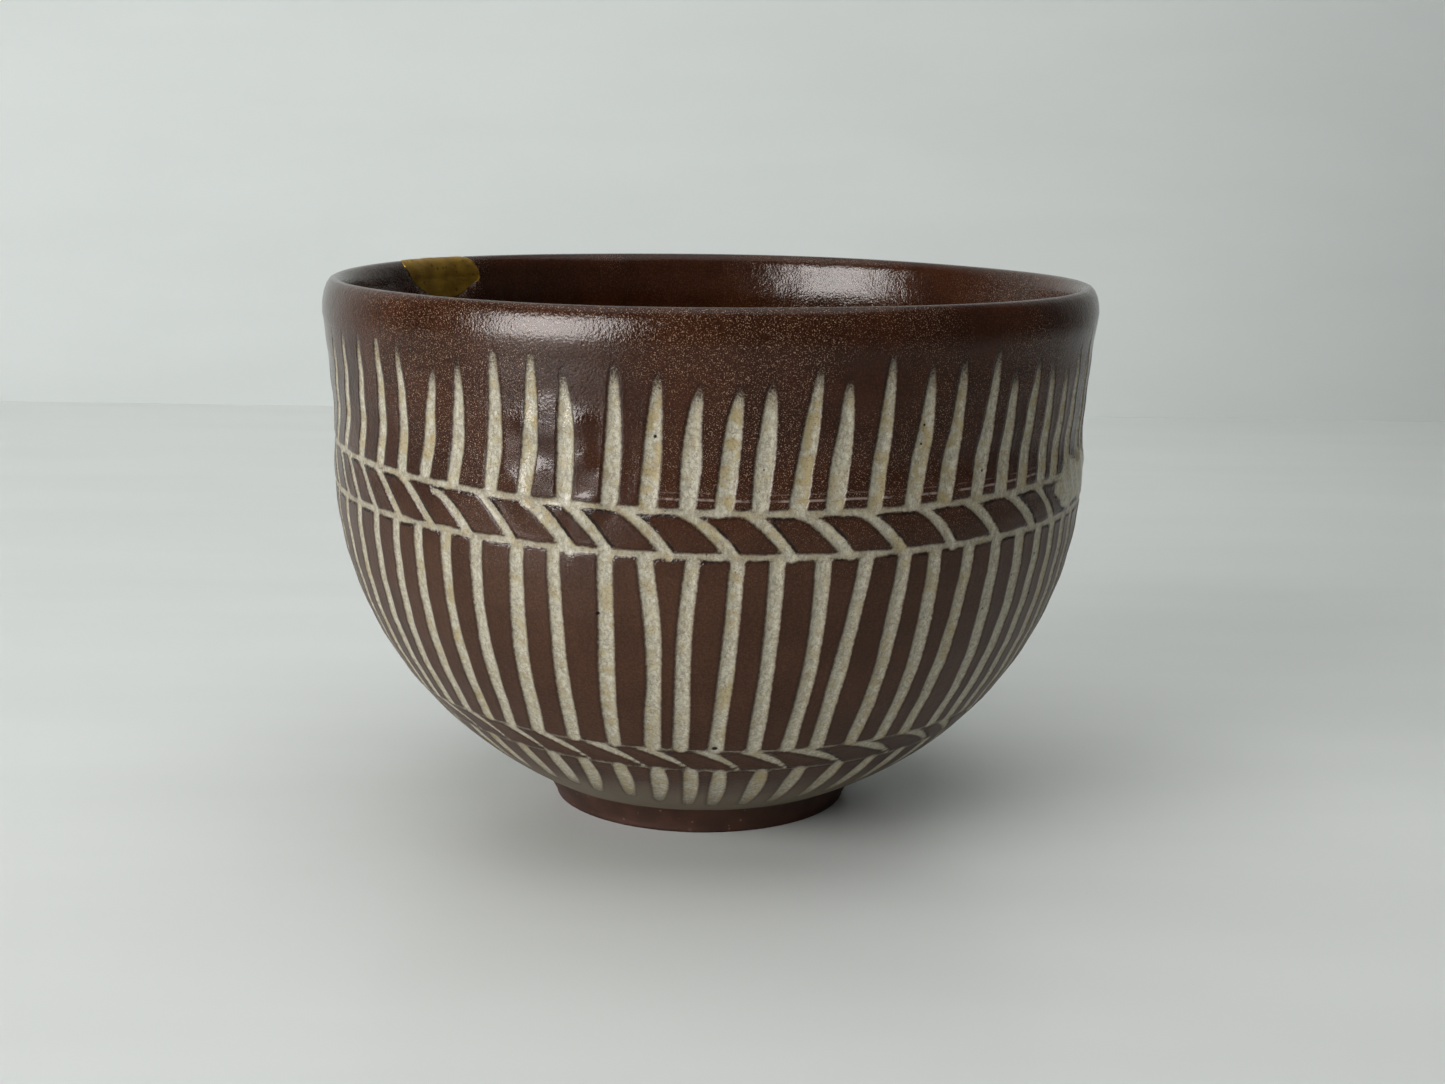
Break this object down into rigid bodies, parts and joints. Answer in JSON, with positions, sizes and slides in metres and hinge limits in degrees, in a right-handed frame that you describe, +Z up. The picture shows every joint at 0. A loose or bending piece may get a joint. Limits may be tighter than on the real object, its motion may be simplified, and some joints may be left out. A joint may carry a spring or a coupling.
{
  "type": "mended tea bowl",
  "caption": "Hand-thrown stoneware tea bowl with slip strokes and leaf bands under brown glaze; a broken place in the rim is filled with gold lacquer.",
  "frame": {"origin": "centre of the foot ring, on the surface that the bowl stands on", "axes": "+Z up along the axis the bowl was turned about; -Y towards the front of the picture; the mend lies at -X, +Y"},
  "size_m": [0.1176, 0.1176, 0.0812],
  "materials": {
    "glazed_stoneware": "brown iron glaze over cream slip inlay, glossy, bare red-brown clay at the foot",
    "gold_lacquer": "satin gold lacquer"
  },
  "bodies": {
    "root": {"bowl_body": "glazed_stoneware", "gold_lacquer_fill": "gold_lacquer"}
  },
  "joints": []
}
